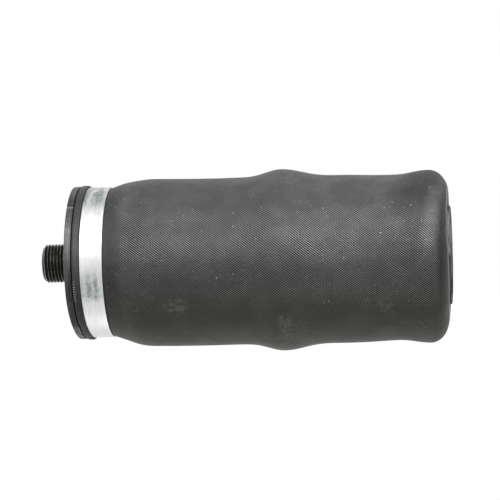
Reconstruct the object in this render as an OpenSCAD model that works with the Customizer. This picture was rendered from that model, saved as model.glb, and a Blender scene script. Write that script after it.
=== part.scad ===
// Rolling lobe air suspension spring: a rubber sleeve crimped to an end cap above and to a closure
// on a moulded piston below. Millimetres, axis along +Z, stud up, z = 0 at the piston's foot.
// Drawn at its shortest height, with the sleeve rolled down to the foot of the piston.

/* [Overall] */
// Height from the foot of the piston to the mounting face of the end cap
closed_height = 185; // [180:0.5:200]

/* [Rubber sleeve] */
// Wall of the sleeve, two plies of cord between rubber
wall = 3; // [2.4:0.1:3.2]
// Height of the widest ring of the rolled lobe
lobe_z = 10.6; // [9.5:0.1:13]
// Radius of the rolled lobe
lobe_r = 42.2; // [41.5:0.1:45]
// Radius at which the fold is lowest
fold_r = 30.2; // [29.6:0.1:32]
// Height of the fold above the foot
fold_z = 1.5; // [1:0.1:3]
// Radius of the sleeve at its waist above the lobe
waist_r = 40.5; // [40:0.1:43]
// Height of the waist
waist_z = 26; // [20:0.5:40]
// Radius of the sleeve below the bulge
below_bulge_r = 41.2; // [40.6:0.1:43]
// Room between the bulge and the lower crimp band inside it
bulge_room = 1.15; // [1:0.05:3]
// Length of the bulge's slope towards the lobe
bulge_low_run = 28; // [24:0.5:32]
// Length of the bulge's slope towards the shoulder
bulge_high_run = 22; // [20:0.5:28]
// Sharpness of the bulge's crest, 1 for a plain wave
bulge_sharpness = 1.8; // [1:0.1:2]
// Radius of the sleeve above the bulge
above_bulge_r = 41.1; // [40.6:0.1:43]
// Radius of the sleeve where the shoulder begins
neck_r = 41.2; // [40:0.1:42.5]
// Length of the shoulder below the upper crimp
shoulder_h = 20.8; // [16:0.1:26]
// Fullness of the shoulder, 1 for an even slope and less for a rounder dome
shoulder_fullness = 0.5; // [0.4:0.05:1]
// How far the shoulder swells past the inside of the crimp band
shoulder_swell = 1.2; // [1:0.1:2.2]
// Thickness of the rubber under the upper crimp band
grip = 2.7; // [2.3:0.1:3]
// How far the rubber bead stands out from the gripped rubber
bead_lip = 3.45; // [2.6:0.05:4]
// Height of the rubber bead
bead_h = 3.6; // [2.5:0.1:4.5]
// Rounding of the rubber bead
bead_round = 1.2; // [0.6:0.1:1.2]
// Length of the shoulder hidden under the lower edge of the crimp band
shoulder_end = 1.2; // [0.8:0.1:2]
// Gap between rubber and the hard pieces of other bodies
rubber_gap = 0.15; // [0.1:0.01:0.25]

/* [End cap] */
// Diameter of the flange
flange_d = 75.4; // [73:0.1:80]
// Thickness of the flange
flange_t = 3.3; // [2.5:0.1:4.5]
// Gap between the flange and the rubber bead
bead_gap = 0.4; // [0.3:0.05:1]
// Radius of the grooved spigot inside the sleeve
spigot_r = 31.8; // [30.5:0.1:33]
// Wall of the spigot
spigot_wall = 5; // [4:0.1:6]
// Length of the spigot below the crimp band
spigot_nose = 2.4; // [1.5:0.1:4]
// Thickness of the web between the flange and the hollow
cap_web = 8; // [6:0.1:10]
// Radius of the central boss that meets the bumper
boss_r = 21; // [19:0.1:23]
// Depth of the boss below the web
boss_h = 9.5; // [8.5:0.1:12]
// Number of stiffening ribs between boss and spigot
cap_ribs = 8; // [6:1:10]
// Thickness of a stiffening rib
cap_rib_t = 2.6; // [2:0.1:4]
// How far the ribs stop short of the face of the boss
cap_rib_step = 3; // [1:0.1:5]
// Rounding of the edges of the metal pieces
edge_r = 0.6; // [0.3:0.05:0.8]

/* [Crimp bands] */
// Height of the upper crimp band
band_h = 11.2; // [10:0.1:14]
// Thickness of the upper crimp band
band_t = 2.3; // [1.6:0.1:3]
// Height of the lower crimp band
low_band_h = 10.4; // [8:0.1:11]
// Thickness of the lower crimp band
low_band_t = 2.2; // [1.6:0.1:2.8]
// Height of the lower crimp band above the widening of the closure
low_band_lift = 2; // [1.5:0.1:3]
// Number of gripping grooves round each spigot
grooves = 3; // [2:1:3]
// Radius of a gripping groove
groove_r = 1.1; // [0.8:0.05:1.2]
// Depth of a gripping groove
groove_depth = 0.7; // [0.4:0.05:0.9]

/* [Combo stud] */
// Length of the stud above the mounting face
stud_h = 16.2; // [14:0.1:30]
// Thread diameter, 3/4 inch with 16 threads an inch
stud_d = 19.05; // [18:0.01:20]
// Diameter of the stud's shank where it fills the end cap
stud_shank_d = 20; // [19.8:0.1:21]
// Chamfer at the tip of the stud
stud_chamfer = 1.4; // [0.8:0.1:2]
// Drill diameter of the air port, for a 1/4 inch pipe thread
port_d = 11.12; // [10:0.01:12]
// Depth of the air port
port_h = 12; // [10:0.5:14]
// Diameter of the air passage to the chamber
passage_d = 6; // [4:0.1:8]
// Width across flats of the stud's head
stud_head_af = 25.4; // [25:0.1:27]
// Height of the stud's head
stud_head_h = 5; // [4:0.1:6]
// Radial gap round the stud's head in its pocket
stud_head_gap = 1; // [0.6:0.1:2]
// Depth left under the stud's head in its pocket
stud_head_room = 0.5; // [0.2:0.1:1]
// Radial gap between the stud and the bore of the end cap
stud_gap = 0.05; // [0.02:0.01:0.1]

/* [Piston] */
// Radius of the piston at its foot
foot_r = 24.2; // [23:0.1:24.6]
// Radius of the piston below its shoulder
body_r = 26.5; // [25.5:0.1:27]
// Height at which the shoulder begins
shoulder_z = 56; // [50:0.5:58]
// Height of the flat top of the piston, where the closure sits
piston_top_z = 72; // [71:0.1:73]
// Wall of the piston
piston_wall = 4; // [3:0.1:4.5]
// Chamfer round the foot
foot_chamfer = 0.7; // [0.4:0.1:1.2]
// Depth of the pockets under the foot
pocket_h = 22; // [12:0.5:24]
// Number of ribs between the pockets
pocket_ribs = 8; // [6:1:10]
// Thickness of a rib
pocket_rib_t = 2.4; // [1.8:0.1:3]
// Radius of the central column
column_r = 12.5; // [12:0.1:13]
// Thickness of the floor between the pockets and the inner chamber
piston_web = 6; // [4:0.5:8]

/* [Piston insert] */
// Diameter of the threaded insert
insert_d = 17; // [16:0.1:18]
// Length of the insert
insert_h = 40; // [38:0.5:42]
// Drill diameter of the mounting thread, 1/2 inch with 13 threads an inch
base_thread_d = 10.72; // [10:0.01:11.5]
// Depth of the mounting thread
base_thread_h = 18; // [14:0.5:20]
// Depth of the groove between the two knurled bands of the insert
insert_groove = 0.8; // [0.4:0.1:1.2]

/* [Piston closure] */
// Radius of the closure's grooved spigot
closure_r = 35.5; // [34.5:0.1:37]
// Height at which the closure reaches its full radius
closure_full_z = 75; // [74.5:0.1:75.5]
// Thickness of the closure's floor
closure_floor = 6; // [5:0.1:7]
// Wall of the closure
closure_wall = 4.5; // [4:0.1:6]
// Height of the lower rubber bead
low_bead_h = 2.4; // [1.5:0.1:2.6]
// Thickness of the rubber under the lower crimp band
low_grip = 2.3; // [2:0.1:2.6]
// How far the lower rubber bead stands out from the gripped rubber
low_bead_lip = 1.05; // [0.7:0.05:1.4]
// Diameter of a locating dowel
dowel_d = 3; // [2.5:0.1:3.2]
// Length of a locating dowel
dowel_h = 8; // [6:0.1:9]
// Distance of a locating dowel from the axis
dowel_place = 9.4; // [9.2:0.1:9.6]
// Radial gap round a locating dowel
dowel_gap = 0.05; // [0.02:0.01:0.1]
// Gap over the upper end of a locating dowel
dowel_room = 0.2; // [0.1:0.05:0.5]

/* [Bolt, washer and seals] */
// Diameter of the tie bolt, 3/8 inch
bolt_d = 9.53; // [9:0.01:10]
// Width across flats of the bolt's head
bolt_af = 14.3; // [13:0.1:15]
// Height of the bolt's head
bolt_head_h = 6.2; // [5:0.1:7]
// Height of the lower end of the tie bolt
bolt_end_z = 26; // [24:0.5:28]
// Room left below the end of the tie bolt
bolt_room = 2; // [1:0.5:4]
// Radial gap round the tie bolt where it passes through a piece
bolt_gap = 0.3; // [0.1:0.05:0.5]
// Radial gap between the plain cylinders that stand for a thread in its hole
thread_gap = 0.05; // [0.02:0.01:0.1]
// Diameter of the clamp washer
washer_d = 20; // [18:0.1:20.6]
// Thickness of the clamp washer
washer_t = 2.5; // [2:0.1:3]
// Cord radius of the sealing rings
seal_cord_r = 1.1; // [0.9:0.05:1.2]
// Gap all round a sealing ring in its gland
seal_gap = 0.07; // [0.05:0.01:0.1]
// Distance of the closure's sealing ring from its widest radius
seal_inset = 4.6; // [4.3:0.1:5.5]

/* [Bumper] */
// Radius of the bumper's base
bumper_base_r = 23; // [21:0.1:25]
// Number of rings along the bumper
bumper_rings = 2; // [1:1:3]
// Radius of the bumper's rings
bumper_ring_r = 20.5; // [19:0.1:21.5]
// Radius of the bumper's waists
bumper_waist_r = 16.5; // [15.5:0.1:18]
// Radius of the bumper's top
bumper_top_r = 18.5; // [17.8:0.1:19.5]
// Radius of the bore down the bumper
bumper_bore_r = 10.6; // [10.4:0.05:11.5]
// Thickness of the clamped base of the bumper
bumper_floor = 5; // [4:0.1:6]
// Gap between the bumper and the end cap
bumper_gap = 0.3; // [0.2:0.05:1]
// Number of air slots across the bumper's top
bumper_slots = 4; // [2:1:6]
// Width of an air slot
bumper_slot_w = 3; // [2:0.1:4]
// Depth of an air slot
bumper_slot_h = 3; // [2:0.1:5]

/* [Hidden] */
$fn = 96;
// Height of one step of the turned profiles
step = 1;
// Height of one step across the gripping grooves
groove_step = 0.25;
// Angle of one step round the fold
fold_step = 6;
// Angle of one step round a bead
bead_step = 15;
// Facets of the small circles of grooves, seals and edges
small_fn = 32;
// Overshoot of a cut past a face
past = 1;

// Radii of the gripped rubber, the crimp bands, the beads, the shoulder and the bulge
grip_r = spigot_r + rubber_gap + grip;
band_in_r = grip_r + rubber_gap;
band_r = band_in_r + band_t;
bead_r = grip_r + bead_lip;
shoulder_r = band_in_r + shoulder_swell;
low_grip_r = closure_r + rubber_gap + low_grip;
low_band_in_r = low_grip_r + rubber_gap;
low_band_r = low_band_in_r + low_band_t;
low_bead_r = low_grip_r + low_bead_lip;
bulge_r = low_band_r + bulge_room + wall;

// Heights that follow from the sizes above, from the top down
flange_under_z = closed_height - flange_t;
bead_top_z = flange_under_z - bead_gap;
band_top_z = bead_top_z - bead_h;
band_z = band_top_z - band_h;
web_under_z = closed_height - cap_web;
boss_z = web_under_z - boss_h;
spigot_z = band_z - spigot_nose;
stud_pocket_h = stud_head_h + stud_head_room;
stud_pocket_z = boss_z + stud_pocket_h;
stud_head_r = stud_head_af / sqrt(3);
closure_floor_z = piston_top_z + closure_floor;
low_band_z = closure_full_z + low_band_lift;
low_band_top_z = low_band_z + low_band_h;
closure_top_z = low_band_top_z + low_bead_h;
bulge_z = (low_band_z + low_band_top_z) / 2;
washer_z = closure_floor_z + bumper_floor;
bolt_head_z = washer_z + washer_t;
bumper_top_z = boss_z - bumper_gap;
pocket_r = foot_r - piston_wall;
gland_size = 2 * (seal_cord_r + seal_gap);
seal_groove_r = closure_r - seal_inset;

// Stations of the sleeve's outer wall: height, radius, sharpness of the stretch above
outer_wall = [
    [lobe_z, lobe_r, 1],
    [waist_z, waist_r, 1],
    [bulge_z - bulge_low_run, below_bulge_r, bulge_sharpness],
    [bulge_z, bulge_r, bulge_sharpness],
    [bulge_z + bulge_high_run, above_bulge_r, 1],
    [band_z - shoulder_h, neck_r, shoulder_fullness],
    [band_z + shoulder_end, shoulder_r, 1]
];
// Stations of the piston and of the closure's foot: height, radius, sharpness
core = [
    [-past, foot_r, 1],
    [lobe_z, foot_r, 1],
    [shoulder_z, body_r, 1],
    [closure_full_z, closure_r, 1],
    [closure_top_z, closure_r, 1]
];

// A smooth step from 0 to 1
function ease(t) = (1 - cos(180 * t)) / 2;

// The stretch of a list of stations that holds a height
function stretch(stations, z, i = 0) =
    i >= len(stations) - 2 || z <= stations[i + 1][0] ? i : stretch(stations, z, i + 1);

// The radius at a height, eased between the stations
function radius_at(stations, z) =
    let (
        i = stretch(stations, z),
        a = stations[i],
        b = stations[i + 1],
        t = min(1, max(0, (z - a[0]) / (b[0] - a[0]))),
        rise = a[1] < b[1] ? t : 1 - t
    )
    min(a[1], b[1]) + abs(b[1] - a[1]) * pow(ease(rise), a[2]);

// Heights from a to b in even steps, both ends included
function heights(a, b, size = step) =
    let (count = max(1, ceil(abs(b - a) / size)))
    [for (i = [0 : count]) a + (b - a) * i / count];

// Radius of the inside of the sleeve's outer wall, which closes onto the end cap's spigot
function inner_wall_r(z) =
    let (
        t = min(1, max(0, (band_z - z) / shoulder_h)),
        share = pow(ease(t), shoulder_fullness)
    )
    (radius_at(outer_wall, min(z, band_z - shoulder_h)) - wall) * share
        + (spigot_r + rubber_gap) * (1 - share);

// Radius of the sleeve where it lies on the piston
function piston_side_r(z) = radius_at(core, z) + rubber_gap * (z < closure_full_z ? 2 : 1);

// Radius of that wall on its air side, which thins into the lower crimp
function air_side_r(z) =
    let (
        lift = wall / 2,
        t = min(1, max(0, (z - shoulder_z) / (low_band_z - shoulder_z)))
    )
    (piston_side_r(min(z + lift * t, closure_full_z - rubber_gap)) + wall) * (1 - t) + low_grip_r * t;

// The fold under the lobe, offset inwards by a depth
function fold_arc(depth) =
    let (
        high = lobe_z - fold_z - depth,
        out = lobe_r - fold_r - depth,
        back = fold_r - piston_side_r(lobe_z) - depth
    )
    [
        for (a = [0 : fold_step : 180])
            [fold_r + (a < 90 ? out : back) * cos(a), lobe_z - high * sin(a)]
    ];

// Cuts the gripping grooves along a spigot between two heights
module groove_cuts(radius, z0, z1) {
    pitch = (z1 - z0) / grooves;
    for (i = [0 : grooves - 1])
        translate([radius + groove_r - groove_depth, z0 + pitch * (i + 0.5)])
            circle(groove_r, $fn = small_fn);
}

// How far the rubber bulges into the grooves at a height, with the gap kept all round
function groove_fill(z, z0, z1) =
    let (
        pitch = (z1 - z0) / grooves,
        nearest = z0 + pitch * (min(grooves - 1, max(0, floor((z - z0) / pitch))) + 0.5),
        fill_r = groove_r - rubber_gap,
        chord = fill_r * fill_r - pow(z - nearest, 2)
    )
    max(0, sqrt(max(0, chord)) - (groove_r - groove_depth));

// The side of the rubber that lies on a grooved spigot, from one height to another
function crimp_side(spigot, from, to, z0, z1) =
    [for (z = heights(from, to, groove_step)) [spigot + rubber_gap - groove_fill(z, z0, z1), z]];

// A rounded bead of rubber, from its foot on the gripped wall round to the spigot
function bead_side(grip, crest, from, to, round) =
    let (centre_r = crest - round)
    concat(
        [[grip, from]],
        [for (a = [-90 : bead_step : 0]) [centre_r + round * cos(a), from + round * (1 + sin(a))]],
        [for (a = [0 : bead_step : 90]) [centre_r + round * cos(a), to - round * (1 - sin(a))]]
    );

// A ring's section with rounded outer corners, from an inner to an outer radius
module ring_section(r0, r1, z0, z1, round = edge_r) {
    translate([r0, z0])
        square([r1 - r0 - round, z1 - z0]);
    translate([r0, z0 + round])
        square([r1 - r0, z1 - z0 - 2 * round]);
    for (z = [z0 + round, z1 - round])
        translate([r1 - round, z])
            circle(round, $fn = small_fn);
}

// A round sealing ring
module seal_ring(radius, z) {
    rotate_extrude()
        translate([radius, z])
            circle(seal_cord_r, $fn = small_fn);
}

// Flange, grooved spigot and central boss, turned and bored
module end_cap() {
    color("dimgray")
    difference() {
        union() {
            rotate_extrude()
                difference() {
                    union() {
                        ring_section(0, flange_d / 2, flange_under_z, closed_height, edge_r);
                        ring_section(spigot_r - spigot_wall, spigot_r, spigot_z, flange_under_z + past / 2);
                        translate([0, web_under_z])
                            square([spigot_r - past, flange_under_z - web_under_z + past / 2]);
                    }
                    groove_cuts(spigot_r, band_z, band_top_z);
                }
            rotate_extrude()
                ring_section(0, boss_r, boss_z, web_under_z + past);
            cap_ribs_all();
        }
        translate([0, 0, boss_z - past])
            cylinder(r = stud_head_r + stud_head_gap, h = stud_pocket_h + past);
        translate([0, 0, stud_pocket_z - past])
            cylinder(r = stud_shank_d / 2 + gland_size, h = gland_size + past);
        translate([0, 0, boss_z])
            cylinder(r = stud_shank_d / 2 + stud_gap, h = closed_height);
    }
}

// Ribs that carry the boss from the spigot
module cap_ribs_all() {
    rib_h = boss_h - cap_rib_step;
    for (i = [0 : cap_ribs - 1])
        rotate([0, 0, 360 / cap_ribs * (i + 0.5)])
            translate([boss_r - past, -cap_rib_t / 2, web_under_z - rib_h])
                cube([spigot_r - spigot_wall - boss_r + 2 * past, cap_rib_t, rib_h + past]);
}

// Stud with its hexagon head under the end cap, its air port and its passage
module combo_stud() {
    color("darkslategray")
    difference() {
        union() {
            translate([0, 0, stud_pocket_z - stud_head_h])
                cylinder(r = stud_head_r, h = stud_head_h, $fn = 6);
            translate([0, 0, stud_pocket_z])
                cylinder(d = stud_shank_d, h = closed_height - stud_pocket_z);
            translate([0, 0, closed_height - past])
                cylinder(d = stud_d, h = past + stud_h - stud_chamfer);
            translate([0, 0, closed_height + stud_h - stud_chamfer])
                cylinder(r1 = stud_d / 2, r2 = stud_d / 2 - stud_chamfer, h = stud_chamfer);
        }
        translate([0, 0, closed_height + stud_h - port_h])
            cylinder(d = port_d, h = port_h + past);
        translate([0, 0, boss_z - past])
            cylinder(d = passage_d, h = closed_height + stud_h - boss_z);
    }
}

// Ring that seals the stud in the end cap
module stud_seal() {
    color("black")
        seal_ring((stud_shank_d + gland_size) / 2, stud_pocket_z + gland_size / 2);
}

// Band that grips the sleeve on the end cap
module upper_crimp_band() {
    color("gainsboro")
    rotate_extrude()
        ring_section(band_in_r, band_r, band_z, band_top_z, edge_r);
}

// Sleeve with its shoulder, bulge, rolled lobe and fold, crimped at both ends
module rubber_sleeve() {
    outer_side = [for (z = heights(band_z - rubber_gap, lobe_z)) [radius_at(outer_wall, z), z]];
    contact_side = [for (z = heights(lobe_z, closure_full_z)) [piston_side_r(z), z]];
    air_side = [for (z = heights(low_band_z - rubber_gap, lobe_z)) [air_side_r(z), z]];
    inner_side = [for (z = heights(lobe_z, band_z)) [inner_wall_r(z), z]];
    color([0.2, 0.2, 0.2])
    rotate_extrude()
        polygon(concat(
            reverse(bead_side(grip_r, bead_r, band_top_z + rubber_gap, bead_top_z, bead_round)),
            [[grip_r, band_z - rubber_gap]],
            outer_side,
            fold_arc(0),
            contact_side,
            crimp_side(closure_r, low_band_z - rubber_gap, closure_top_z, low_band_z, low_band_top_z),
            reverse(bead_side(low_grip_r, low_bead_r, low_band_top_z + rubber_gap, closure_top_z, edge_r)),
            [[low_grip_r, low_band_z - rubber_gap]],
            air_side,
            reverse(fold_arc(wall)),
            inner_side,
            crimp_side(spigot_r, band_z + rubber_gap, bead_top_z, band_z, band_top_z)
        ));
}

// The same list from its end to its start
function reverse(list) = [for (i = [len(list) - 1 : -1 : 0]) list[i]];

// Moulded piston: tapered wall, shoulder, ribbed pockets below and a chamber above
module piston() {
    chamber_z = pocket_h + piston_web;
    outline = [for (z = heights(foot_chamfer, piston_top_z)) [radius_at(core, z), z]];
    hollow = [for (z = heights(piston_top_z + past, chamber_z)) [radius_at(core, z) - piston_wall, z]];
    color([0.13, 0.13, 0.13])
    difference() {
        rotate_extrude()
            difference() {
                polygon(concat(
                    [[0, piston_top_z], [0, 0], [foot_r - foot_chamfer, 0]],
                    outline
                ));
                polygon(concat([[column_r, piston_top_z + past]], hollow, [[column_r, chamber_z]]));
            }
        foot_pockets();
        translate([0, 0, -past])
            cylinder(d = insert_d, h = insert_h + past);
        cylinder(d = bolt_d + 2 * bolt_gap, h = piston_top_z + past);
        dowel_holes();
    }
}

// Pockets under the foot, a ring of hollows between radial ribs
module foot_pockets() {
    translate([0, 0, -past])
        difference() {
            cylinder(r = pocket_r, h = pocket_h + past);
            translate([0, 0, -past])
                cylinder(r = column_r, h = pocket_h + 3 * past);
            for (i = [0 : pocket_ribs - 1])
                rotate([0, 0, 360 / pocket_ribs * i])
                    translate([0, -pocket_rib_t / 2, -past])
                        cube([pocket_r + past, pocket_rib_t, pocket_h + 3 * past]);
        }
}

// Threaded insert: mounting thread from below, tie bolt thread from above
module piston_insert() {
    groove_z = insert_h / 2;
    color("goldenrod")
    difference() {
        cylinder(d = insert_d, h = insert_h);
        translate([0, 0, -past])
            cylinder(d = base_thread_d, h = base_thread_h + past);
        translate([0, 0, bolt_end_z - bolt_room])
            cylinder(d = bolt_d + 2 * thread_gap, h = insert_h);
        translate([0, 0, groove_z])
            rotate_extrude()
                translate([insert_d / 2, 0])
                    circle(insert_groove, $fn = small_fn);
    }
}

// Cup that carries the lower end of the sleeve, with a grooved spigot
module piston_closure() {
    foot = [for (z = heights(piston_top_z, closure_full_z)) [radius_at(core, z), z]];
    color("gray")
    difference() {
        rotate_extrude()
            difference() {
                polygon(concat(
                    [[0, closure_floor_z], [0, piston_top_z]],
                    foot,
                    [[closure_r, closure_top_z], [closure_r - closure_wall, closure_top_z]],
                    [[closure_r - closure_wall, closure_floor_z + past]],
                    [[closure_r - closure_wall - past, closure_floor_z]]
                ));
                groove_cuts(closure_r, low_band_z, low_band_top_z);
                translate([seal_groove_r - gland_size / 2, piston_top_z - past])
                    square([gland_size, gland_size + past]);
            }
        translate([0, 0, piston_top_z - past])
            cylinder(d = bolt_d + 2 * bolt_gap, h = closure_floor + 2 * past);
        translate([0, 0, closure_floor_z - gland_size])
            cylinder(r = bolt_d / 2 + gland_size, h = closure_floor);
        dowel_holes();
    }
}

// Ring that keeps water out of the piston's chamber
module closure_seal() {
    color("black")
        seal_ring(seal_groove_r, piston_top_z + gland_size / 2);
}

// Holes of the two locating dowels
module dowel_holes() {
    for (side = [-1, 1])
        translate([side * dowel_place, 0, piston_top_z - dowel_h / 2])
            cylinder(d = dowel_d + 2 * dowel_gap, h = dowel_h + dowel_room, $fn = small_fn);
}

// Dowels that keep the closure from turning on the piston
module locating_dowels() {
    color("silver")
    for (side = [-1, 1])
        translate([side * dowel_place, 0, piston_top_z - dowel_h / 2])
            cylinder(d = dowel_d, h = dowel_h, $fn = small_fn);
}

// Band that grips the sleeve on the closure
module lower_crimp_band() {
    color("silver")
    rotate_extrude()
        ring_section(low_band_in_r, low_band_r, low_band_z, low_band_top_z, edge_r);
}

// Waisted rubber stop with a bore for the bolt and slots that let the air past
module bumper() {
    base_z = closure_floor_z;
    tall = bumper_top_z - base_z;
    half_wave = (bumper_top_z - washer_z) / (2 * bumper_rings + 1);
    profile = concat(
        [[base_z, bumper_base_r, 1], [washer_z, bumper_base_r, 1]],
        [
            for (i = [1 : 2 * bumper_rings])
                [washer_z + half_wave * i, i % 2 == 1 ? bumper_waist_r : bumper_ring_r, 1]
        ],
        [[bumper_top_z, bumper_top_r, 1]]
    );
    color([0.35, 0.3, 0.2])
    difference() {
        rotate_extrude()
            polygon(concat(
                [[0, base_z]],
                [for (z = heights(base_z, bumper_top_z, 2 * step)) [radius_at(profile, z), z]],
                [[0, bumper_top_z]]
            ));
        translate([0, 0, washer_z])
            cylinder(r = bumper_bore_r, h = tall);
        translate([0, 0, base_z - past])
            cylinder(d = bolt_d + 2 * bolt_gap, h = tall);
        for (i = [0 : bumper_slots - 1])
            rotate([0, 0, 360 / bumper_slots * i])
                translate([0, -bumper_slot_w / 2, bumper_top_z - bumper_slot_h])
                    cube([bumper_ring_r + past, bumper_slot_w, bumper_slot_h + past]);
    }
}

// Washer that clamps the bumper onto the closure
module clamp_washer() {
    color("silver")
    difference() {
        translate([0, 0, washer_z])
            cylinder(d = washer_d, h = washer_t);
        translate([0, 0, washer_z - past])
            cylinder(d = bolt_d + 2 * bolt_gap, h = washer_t + 2 * past);
    }
}

// Bolt that holds bumper, closure and piston together
module tie_bolt() {
    color("silver")
    union() {
        translate([0, 0, bolt_head_z])
            cylinder(r = bolt_af / sqrt(3), h = bolt_head_h, $fn = 6);
        translate([0, 0, bolt_end_z])
            cylinder(d = bolt_d, h = bolt_head_z - bolt_end_z);
    }
}

// Ring that seals the tie bolt in the closure
module bolt_seal() {
    color("black")
        seal_ring((bolt_d + gland_size) / 2, closure_floor_z - gland_size / 2);
}

end_cap();
combo_stud();
stud_seal();
upper_crimp_band();
rubber_sleeve();
piston();
piston_insert();
piston_closure();
closure_seal();
locating_dowels();
lower_crimp_band();
bumper();
clamp_washer();
tie_bolt();
bolt_seal();
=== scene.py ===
"""Looks of the air suspension spring: rubber sleeve, crimp band, end cap, stud and piston."""
import math

import bpy
from mathutils import Matrix, Vector, noise


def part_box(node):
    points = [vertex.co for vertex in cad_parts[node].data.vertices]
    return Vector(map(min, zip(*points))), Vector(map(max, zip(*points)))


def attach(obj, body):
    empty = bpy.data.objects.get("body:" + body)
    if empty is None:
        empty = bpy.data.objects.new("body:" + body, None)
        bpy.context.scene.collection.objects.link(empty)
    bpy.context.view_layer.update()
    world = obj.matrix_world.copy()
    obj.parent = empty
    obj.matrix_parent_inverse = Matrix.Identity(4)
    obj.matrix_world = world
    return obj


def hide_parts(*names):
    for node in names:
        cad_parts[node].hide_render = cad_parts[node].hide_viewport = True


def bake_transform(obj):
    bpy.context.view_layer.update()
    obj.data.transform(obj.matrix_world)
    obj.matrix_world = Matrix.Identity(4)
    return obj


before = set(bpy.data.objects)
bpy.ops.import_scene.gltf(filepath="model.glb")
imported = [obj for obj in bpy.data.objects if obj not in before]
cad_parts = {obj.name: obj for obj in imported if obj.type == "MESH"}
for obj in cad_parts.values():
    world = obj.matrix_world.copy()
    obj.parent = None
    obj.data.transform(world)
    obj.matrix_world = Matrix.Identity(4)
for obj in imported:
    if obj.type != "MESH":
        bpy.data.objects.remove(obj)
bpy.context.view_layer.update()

MM = 0.001
INCH_IN_MM = 25.4
TURN = 2 * math.pi
# Lengths that differ by less are the same
TINY = 1e-7

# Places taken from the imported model
CAP_LOW, CAP_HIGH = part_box("end_cap")
STUD_LOW, STUD_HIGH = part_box("combo_stud")
BAND_LOW, BAND_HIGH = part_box("upper_crimp_band")
SLEEVE_LOW, SLEEVE_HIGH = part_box("rubber_sleeve")
LOW_BAND_LOW, LOW_BAND_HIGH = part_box("lower_crimp_band")
BUMPER_LOW, BUMPER_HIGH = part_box("bumper")
PISTON_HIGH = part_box("piston")[1]
CLOSURE_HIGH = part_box("piston_closure")[1]
INSERT_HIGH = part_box("piston_insert")[1]
WASHER_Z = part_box("clamp_washer")[0].z
BAND_MIDDLE = (BAND_LOW.z + BAND_HIGH.z) / 2

# Sizes of the sleeve; sharpness and fullness are powers of the easing between two stations
WALL = 3 * MM
LOBE_Z = 10.6 * MM
LOBE_R = 42.2 * MM
FOLD_R = 30.2 * MM
FOLD_Z = SLEEVE_LOW.z
WAIST_R = 40.5 * MM
WAIST_Z = 26 * MM
BELOW_BULGE_R = 41.2 * MM
BULGE_R = SLEEVE_HIGH.x
BULGE_Z = (LOW_BAND_LOW.z + LOW_BAND_HIGH.z) / 2
BULGE_LOW_RUN = 28 * MM
BULGE_HIGH_RUN = 22 * MM
BULGE_SHARPNESS = 1.8
ABOVE_BULGE_R = 41.1 * MM
NECK_R = 41.2 * MM
SHOULDER_H = 20.8 * MM
SHOULDER_FULLNESS = 0.5
SHOULDER_R = 36 * MM
SHOULDER_END = 1.2 * MM
SPIGOT_R = 31.8 * MM
BAND_IN_R = 34.8 * MM
BEAD_R = 38.1 * MM
BEAD_ROUND = 1.2 * MM
RUBBER_GAP = 0.15 * MM
LOW_BAND_IN_R = 38.1 * MM
LOW_BEAD_R = 39 * MM
LOW_BEAD_ROUND = 0.6 * MM

# The crimp holds the rubber down to HELD_H under it, and the piston holds what is inside HELD_R
HELD_H = 10 * MM
HELD_R = 34 * MM
FREE_RUN = 4 * MM
# Unevenness of the rubber: a slow swell and a finer ripple, which move its wall by so many mm
SWELL_AROUND = 1.6
SWELL_UP = 34 * MM
SWELL_DEPTH = 0.2
RIPPLE_AROUND = 3.1
RIPPLE_SHIFT = 7.3
RIPPLE_UP = 14 * MM
RIPPLE_DEPTH = 0.06
# The fold hangs lower from FOLD_DROP_TOP down, and in full at FOLD_DROP_RUN under it
FOLD_DROP_TOP = LOBE_Z + 2 * MM
FOLD_DROP_RUN = 8 * MM
FOLD_RIPPLE = 0.1 * MM

# Sizes of the end cap
FLANGE_LOW = CAP_HIGH.z - 3.3 * MM
CAP_WALL = 5 * MM
CAP_HOLLOW_Z = CAP_HIGH.z - 8 * MM
BOSS_R = 21 * MM
BOSS_LOW = CAP_HOLLOW_Z - 9.5 * MM
HEAD_POCKET_R = 15.67 * MM
HEAD_POCKET_Z = BOSS_LOW + 5.5 * MM
CAP_RIB_IN_R = 20.7 * MM
CAP_RIB_OUT_R = 27 * MM
CAP_RIB_T = 2.6 * MM
CAP_RIB_LOW = CAP_HIGH.z - 14.5 * MM

# The cap's rim is bent down on the side of -X, farther out than BENT_START
BENT_START = 16 * MM
BENT_RUN = 21.5 * MM
RIM_BEND = 1.4 * MM
RIM_BEND_RUN = 4 * MM
# The bead's lower lip is pressed over the band on both sides, and more under the bent rim
LIP_START = 9 * MM
LIP_RUN = 15 * MM
LIP_PRESSED = 0.6 * MM
LIP_BENT = 0.85 * MM
LIP_EDGE = 0.5 * MM
# Marks on the rim: a nick and a scuff, in degrees round it, and shallow dents all along
RIM_NICK = -44
RIM_SCUFF = -155
NICK_WIDTH = 0.012
NICK_DEPTH = 0.25 * MM
DENT_DEPTH = 0.06 * MM
DENTS_AROUND = 9
DENTS_UP = 300

# Sizes of the piston, the closure and the insert
FOOT_R = 24.2 * MM
FOOT_CHAMFER = 0.7 * MM
BODY_R = 26.5 * MM
SHOULDER_Z = 56 * MM
CLOSURE_R = CLOSURE_HIGH.x
CLOSURE_FULL_Z = 75 * MM
POCKET_R = 20.2 * MM
POCKET_H = 22 * MM
COLUMN_R = 12.5 * MM
FOOT_RIB_IN_R = COLUMN_R - 0.3 * MM
FOOT_RIB_OUT_R = POCKET_R + 0.4 * MM
FOOT_RIB_T = 2.4 * MM
INSERT_R = INSERT_HIGH.x

# Sizes of the bumper: radii of its base and head, and of its waists and rings upward
BUMPER_BASE_R = 23 * MM
BUMPER_HEAD_R = 18.5 * MM
BUMPER_WAVES = (16.5 * MM, 20.5 * MM, 16.5 * MM, 20.5 * MM, BUMPER_HEAD_R)

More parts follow.
